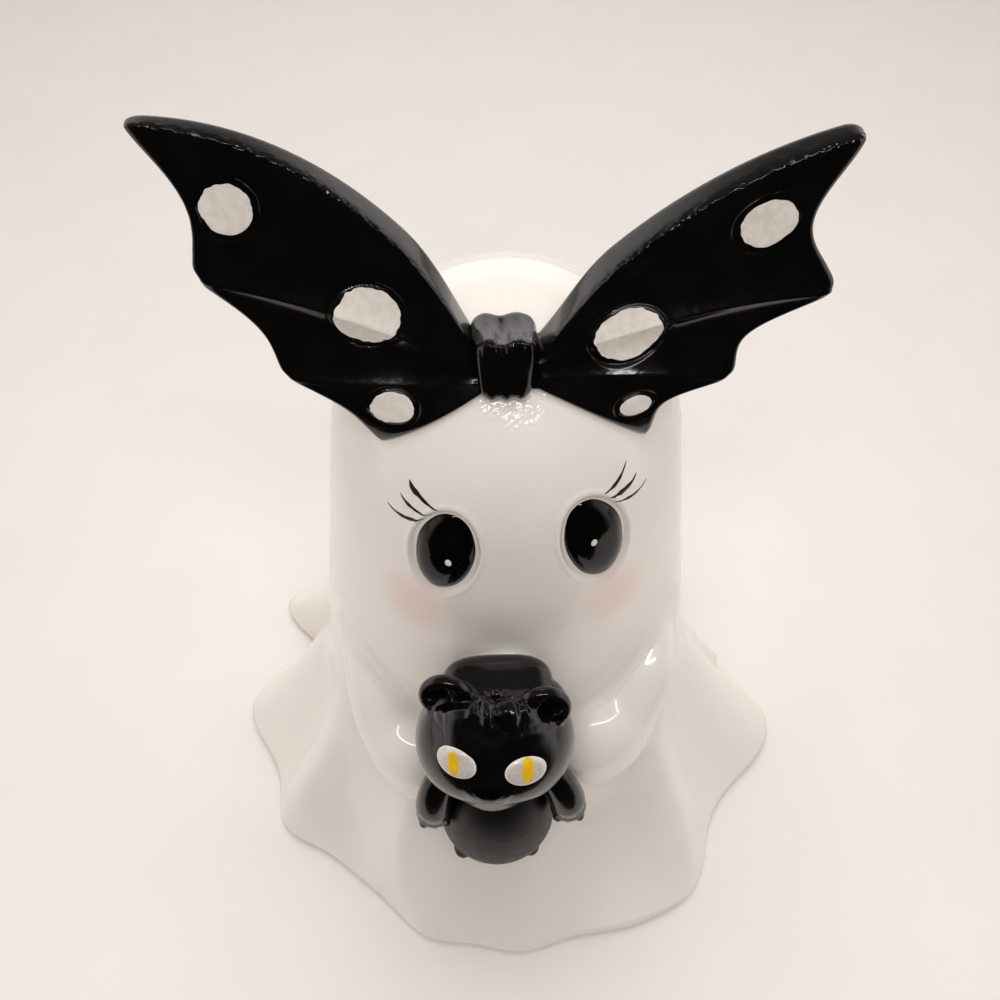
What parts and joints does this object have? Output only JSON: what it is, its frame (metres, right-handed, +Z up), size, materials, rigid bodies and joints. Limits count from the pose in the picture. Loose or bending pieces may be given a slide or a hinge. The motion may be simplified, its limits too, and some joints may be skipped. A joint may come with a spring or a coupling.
{
  "type": "ghost figurine",
  "caption": "Glossy white resin ghost figurine with a flared, folded hem that hugs a black cat in both arms and wears a black bat wing bow with white dots.",
  "frame": {"origin": "middle of the bounding box at floor level, on the underside of the felt disc", "axes": "+Z up, the ghost's face looks along -Y, +X is the figure's own left"},
  "size_m": [0.2286, 0.2252, 0.2885],
  "materials": {
    "gloss_white": "gloss varnish over white paint",
    "gloss_black": "gloss varnish over black paint",
    "eye_black": "high gloss",
    "pale_eye": "satin pearl paint",
    "plate_grey": "raw cast resin",
    "felt_white": "pressed felt"
  },
  "bodies": {
    "root": {"left_eye": "eye_black", "right_eye": "eye_black", "left_arm": "gloss_white", "right_arm": "gloss_white", "cat_torso": "gloss_black", "cat_left_eye": "pale_eye", "cat_right_eye": "pale_eye", "cat_head": "gloss_black", "cat_left_foreleg": "gloss_black", "cat_right_foreleg": "gloss_black", "left_bat_wing": "gloss_black", "right_bat_wing": "gloss_black", "bow_knot": "gloss_black", "base_plate": "plate_grey", "felt_disc": "felt_white", "ghost_body": "gloss_white"}
  },
  "joints": []
}
